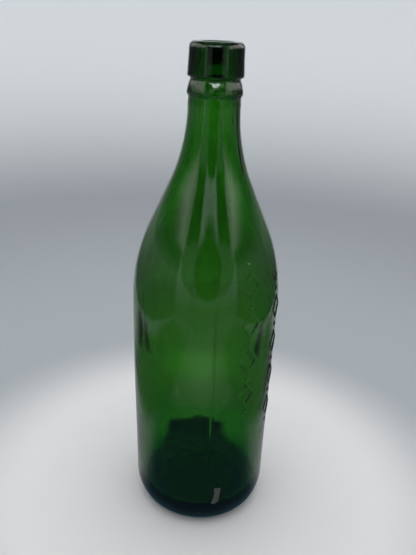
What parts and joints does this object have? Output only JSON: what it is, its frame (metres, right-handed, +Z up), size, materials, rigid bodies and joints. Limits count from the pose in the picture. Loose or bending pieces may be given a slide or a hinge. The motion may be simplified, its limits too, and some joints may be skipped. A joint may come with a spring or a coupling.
{
  "type": "glass bottle",
  "caption": "Round green glass bottle with a rounded heel, sloping shoulder, ringed neck and band lip; empty and open at the mouth.",
  "frame": {"origin": "centre of the foot, on the surface the bottle stands on", "axes": "+Z up along the bottle's axis, towards the mouth; -Y is the side that faced the camera"},
  "size_m": [0.0852, 0.0852, 0.2786],
  "materials": {
    "green_glass": "clear mid-green bottle glass, glossy, slightly wavy, with faint scuffs near the base"
  },
  "bodies": {
    "root": {"bottle": "green_glass"}
  },
  "joints": []
}
